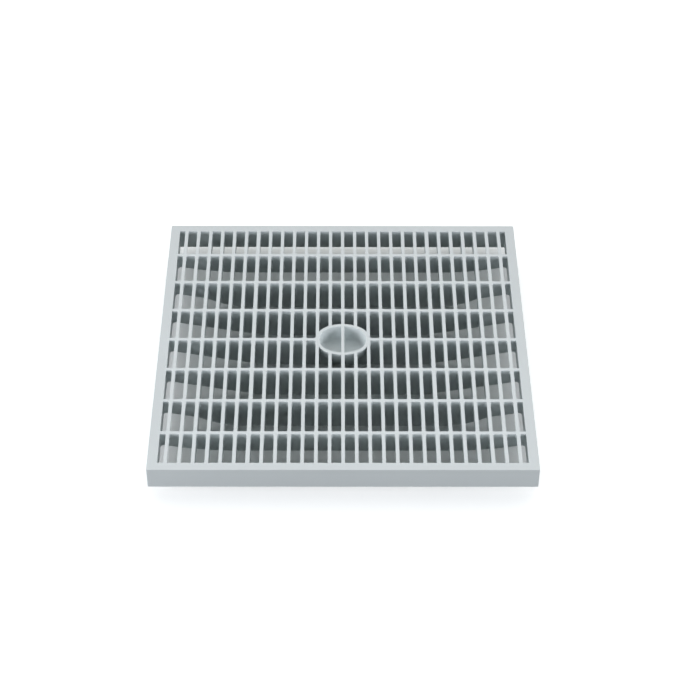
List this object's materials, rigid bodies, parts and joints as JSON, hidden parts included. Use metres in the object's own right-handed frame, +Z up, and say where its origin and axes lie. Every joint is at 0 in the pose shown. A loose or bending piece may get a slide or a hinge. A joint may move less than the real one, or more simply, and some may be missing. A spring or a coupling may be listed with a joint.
{
  "type": "drain grate",
  "caption": "Square plastic drain grate with a deep skirt, slots between bars and cross ribs, and a closed finger cup in the middle with an upright web across it to grip.",
  "frame": {"origin": "under the middle of the grate, on the plane of the deep ribs' undersides, where it stands", "axes": "+Z up out of the flat top; Y runs along the bars and the long way of the slots, +Y to the back; +X to the right, along the cross ribs"},
  "size_m": [0.4, 0.4, 0.0365],
  "materials": {
    "grate_plastic": "matt, lightly grained light grey moulding"
  },
  "bodies": {
    "root": {"grate": "grate_plastic"}
  },
  "joints": []
}
